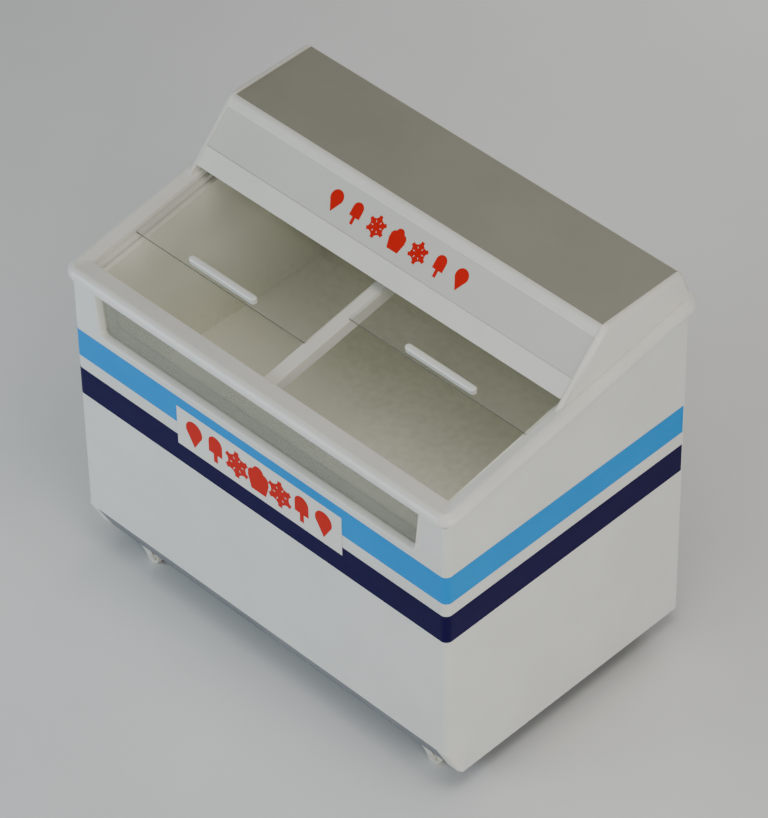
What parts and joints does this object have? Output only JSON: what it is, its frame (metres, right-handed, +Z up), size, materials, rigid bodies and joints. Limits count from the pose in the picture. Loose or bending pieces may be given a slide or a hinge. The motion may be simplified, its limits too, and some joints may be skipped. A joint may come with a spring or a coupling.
{
  "type": "chest freezer",
  "caption": "Low shop freezer for frozen sweets: insulated tub with a front window, sloping deck with two sliding glass lids, lit canopy at the back and swivel casters.",
  "frame": {"origin": "centre of the footprint on the floor under the wheels", "axes": "+X to the right across the front, +Y to the back, +Z up; the front face looks towards -Y"},
  "size_m": [1.1238, 0.758, 1.0255],
  "materials": {
    "white_paint": "satin",
    "dark_paint": "satin",
    "kick_plastic": "matte",
    "cap_plastic": "satin",
    "light_blue_film": "gloss",
    "navy_film": "gloss",
    "badge_film": "gloss",
    "red_film": "gloss",
    "foam": "matte",
    "liner_plastic": "satin",
    "copper": "satin",
    "window_trim": "satin",
    "glass": "gloss",
    "rim_plastic": "satin",
    "track_plastic": "satin",
    "black_rubber": "matte",
    "canopy_plastic": "satin",
    "sign_acrylic": "gloss",
    "reflector_paint": "gloss",
    "lamp_glass": "gloss",
    "lamp_plastic": "matte",
    "compressor_black": "gloss",
    "condenser_fins": "satin",
    "dark_plastic": "matte",
    "knob_plastic": "satin",
    "switch_plastic": "gloss",
    "handle_plastic": "gloss",
    "zinc_steel": "satin",
    "wheel_nylon": "satin"
  },
  "bodies": {
    "cabinet": {"outer_wrap": "white_paint", "back_panel": "white_paint", "rear_grille": "white_paint", "base_pan": "dark_paint", "kick_panel": "kick_plastic", "left_corner_cap": "cap_plastic", "right_corner_cap": "cap_plastic", "light_blue_stripe": "light_blue_film", "navy_stripe": "navy_film", "front_badge": "badge_film", "badge_pictograms": "red_film", "insulation_foam": "foam", "tub_liner": "liner_plastic", "evaporator_tube": "copper", "window_frame": "window_trim", "window_outer_pane": "glass", "window_inner_pane": "glass", "rim_frame": "rim_plastic", "centre_rail": "rim_plastic", "lid_tracks": "track_plastic", "lid_buffers": "black_rubber", "left_cheek": "canopy_plastic", "right_cheek": "canopy_plastic", "canopy_top": "canopy_plastic", "fascia_upper_rail": "canopy_plastic", "fascia_lower_rail": "canopy_plastic", "sign_panel": "sign_acrylic", "sign_pictograms": "red_film", "canopy_back": "canopy_plastic", "lamp_reflector": "reflector_paint", "lamp_tube": "lamp_glass", "lamp_holders": "lamp_plastic", "compressor": "compressor_black", "compressor_mounts": "black_rubber", "condenser": "condenser_fins", "fan_shroud": "dark_plastic", "fan_motor": "dark_paint", "refrigerant_pipes": "copper", "filter_drier": "copper", "control_box": "dark_plastic", "cord_gland": "dark_plastic", "drain_tube": "track_plastic", "rear_screws": "zinc_steel", "caster_plates": "zinc_steel"},
    "left_lid": {"left_lid_glass": "glass", "left_lid_handle": "handle_plastic"},
    "right_lid": {"right_lid_glass": "glass", "right_lid_handle": "handle_plastic"},
    "fan": {"fan_blades": "condenser_fins"},
    "knob": {"thermostat_knob": "knob_plastic"},
    "switch": {"lamp_switch": "switch_plastic"},
    "plug": {"drain_plug": "black_rubber"},
    "front_left_caster": {"front_left_fork": "zinc_steel"},
    "front_left_roller": {"front_left_wheel": "wheel_nylon"},
    "front_right_caster": {"front_right_fork": "zinc_steel"},
    "front_right_roller": {"front_right_wheel": "wheel_nylon"},
    "rear_left_caster": {"rear_left_fork": "zinc_steel"},
    "rear_left_roller": {"rear_left_wheel": "wheel_nylon"},
    "rear_right_caster": {"rear_right_fork": "zinc_steel"},
    "rear_right_roller": {"rear_right_wheel": "wheel_nylon"}
  },
  "joints": [
    {"name": "left_lid_slide", "type": "slide", "parent": "cabinet", "child": "left_lid", "axis": [0, 0.9871, 0.1599], "range_m": [-0.1205, 0.187]},
    {"name": "right_lid_slide", "type": "slide", "parent": "cabinet", "child": "right_lid", "axis": [0, 0.9871, 0.1599], "range_m": [-0.2255, 0.082]},
    {"name": "fan_spin", "type": "hinge", "parent": "cabinet", "child": "fan", "pos_m": [-0.27, 0.234, 0.2075], "axis": [0, 1, 0], "continuous": true},
    {"name": "thermostat_turn", "type": "hinge", "parent": "cabinet", "child": "knob", "pos_m": [0.35, 0.353, 0.322], "axis": [0, 1, 0], "range_deg": [-135, 135]},
    {"name": "lamp_switch_rock", "type": "hinge", "parent": "cabinet", "child": "switch", "pos_m": [0.425, 0.349, 0.322], "axis": [1, 0, 0], "range_deg": [0, 14]},
    {"name": "drain_plug_pull", "type": "slide", "parent": "cabinet", "child": "plug", "axis": [0, 0, 1], "range_m": [0, 0.05]},
    {"name": "front_left_swivel", "type": "hinge", "parent": "cabinet", "child": "front_left_caster", "pos_m": [-0.432, -0.302, 0.05], "axis": [0, 0, 1], "continuous": true},
    {"name": "front_left_roll", "type": "hinge", "parent": "front_left_caster", "child": "front_left_roller", "pos_m": [-0.411, -0.302, 0.02], "axis": [0, 1, 0], "continuous": true},
    {"name": "front_right_swivel", "type": "hinge", "parent": "cabinet", "child": "front_right_caster", "pos_m": [0.432, -0.302, 0.05], "axis": [0, 0, 1], "continuous": true},
    {"name": "front_right_roll", "type": "hinge", "parent": "front_right_caster", "child": "front_right_roller", "pos_m": [0.453, -0.302, 0.02], "axis": [0, 1, 0], "continuous": true},
    {"name": "rear_left_swivel", "type": "hinge", "parent": "cabinet", "child": "rear_left_caster", "pos_m": [-0.432, 0.288, 0.05], "axis": [0, 0, 1], "continuous": true},
    {"name": "rear_left_roll", "type": "hinge", "parent": "rear_left_caster", "child": "rear_left_roller", "pos_m": [-0.411, 0.288, 0.02], "axis": [0, 1, 0], "continuous": true},
    {"name": "rear_right_swivel", "type": "hinge", "parent": "cabinet", "child": "rear_right_caster", "pos_m": [0.432, 0.288, 0.05], "axis": [0, 0, 1], "continuous": true},
    {"name": "rear_right_roll", "type": "hinge", "parent": "rear_right_caster", "child": "rear_right_roller", "pos_m": [0.453, 0.288, 0.02], "axis": [0, 1, 0], "continuous": true}
  ]
}
